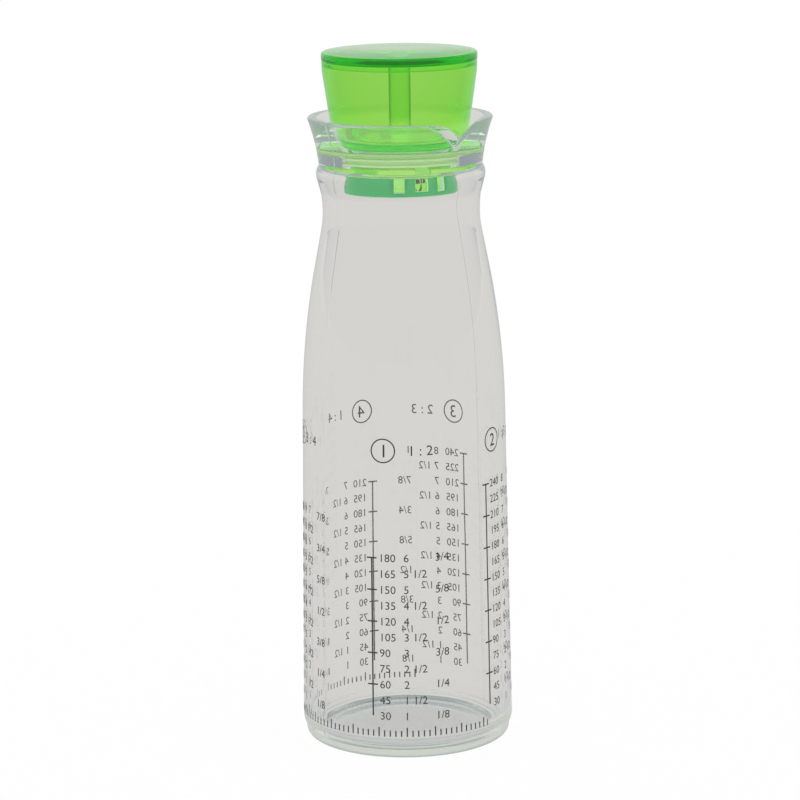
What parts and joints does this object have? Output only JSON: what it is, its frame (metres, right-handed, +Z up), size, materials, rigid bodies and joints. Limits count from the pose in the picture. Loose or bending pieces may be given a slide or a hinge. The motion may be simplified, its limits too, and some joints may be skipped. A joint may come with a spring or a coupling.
{
  "type": "salad dressing shaker bottle",
  "caption": "Clear tapered plastic bottle with printed measuring scales, a flared collar with a pouring groove, and a green hollow stopper with a soft seal.",
  "frame": {"origin": "centre of the ring that the bottle stands on", "axes": "+Z up along the bottle's axis, -Y towards the pouring groove in the collar"},
  "size_m": [0.0672, 0.0672, 0.22],
  "materials": {
    "clear_plastic": "polished clear",
    "black_ink": "screen-printed ink",
    "soft_seal": "translucent silicone",
    "green_plastic": "polished translucent green"
  },
  "bodies": {
    "bottle": {"bottle": "clear_plastic", "measuring_scales": "black_ink"},
    "seal": {"seal_ring": "soft_seal"},
    "stopper": {"stopper_cup": "green_plastic", "stopper_plate": "green_plastic", "stopper_plug": "green_plastic"}
  },
  "joints": [
    {"name": "stopper_lift", "type": "slide", "parent": "bottle", "child": "seal", "axis": [0, 0, 1], "range_m": [0, 0.09]},
    {"name": "stopper_turn", "type": "hinge", "parent": "seal", "child": "stopper", "pos_m": [0, 0, 0.1864], "axis": [0, 0, 1], "continuous": true}
  ]
}
